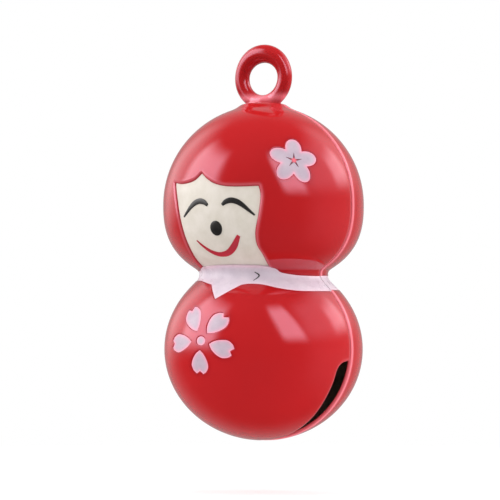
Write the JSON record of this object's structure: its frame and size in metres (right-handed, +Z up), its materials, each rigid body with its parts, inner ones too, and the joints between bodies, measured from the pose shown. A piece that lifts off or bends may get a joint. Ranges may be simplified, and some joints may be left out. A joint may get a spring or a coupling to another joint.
{
  "type": "kokeshi doll bell charm",
  "caption": "Hollow round-headed doll of two enamelled half shells, with a hanging loop, a sound slot in its lower ball and a loose steel pellet that rattles inside.",
  "frame": {"origin": "middle of the hole of the hanging loop, on the doll's upright axis", "axes": "+Z up from the ball through the head to the loop, -Y out of the doll's face, +X to the doll's left; the seam between the two shells lies in the plane Y = 0"},
  "size_m": [0.0152, 0.0151, 0.03],
  "materials": {
    "red_enamel": "high gloss baked enamel over brass",
    "pellet_steel": "dull bare steel",
    "solder": "dull soft solder",
    "cream_enamel": "satin cream enamel",
    "blossom_enamel": "satin pinkish white enamel",
    "black_paint": "printed black paint",
    "crimson_paint": "printed crimson paint"
  },
  "bodies": {
    "bell": {"front_shell": "red_enamel", "back_shell": "red_enamel", "hanging_loop": "red_enamel", "seam_solder_left": "solder", "seam_solder_right": "solder", "face_enamel": "cream_enamel", "collar_enamel_front": "blossom_enamel", "collar_enamel_back": "blossom_enamel", "left_eye_enamel": "black_paint", "right_eye_enamel": "black_paint", "nose_enamel": "black_paint", "mouth_enamel": "crimson_paint", "hair_flower_enamel": "blossom_enamel", "robe_flower_centre": "blossom_enamel", "robe_flower_petal_1": "blossom_enamel", "robe_flower_petal_2": "blossom_enamel", "robe_flower_petal_3": "blossom_enamel", "robe_flower_petal_4": "blossom_enamel", "robe_flower_petal_5": "blossom_enamel"},
    "pellet": {"rattle_pellet": "pellet_steel"}
  },
  "joints": [
    {"name": "pellet_roll", "type": "hinge", "parent": "bell", "child": "pellet", "pos_m": [0, -0.00075, -0.02055], "axis": [0, 1, 0], "range_deg": [-135, 135]}
  ]
}
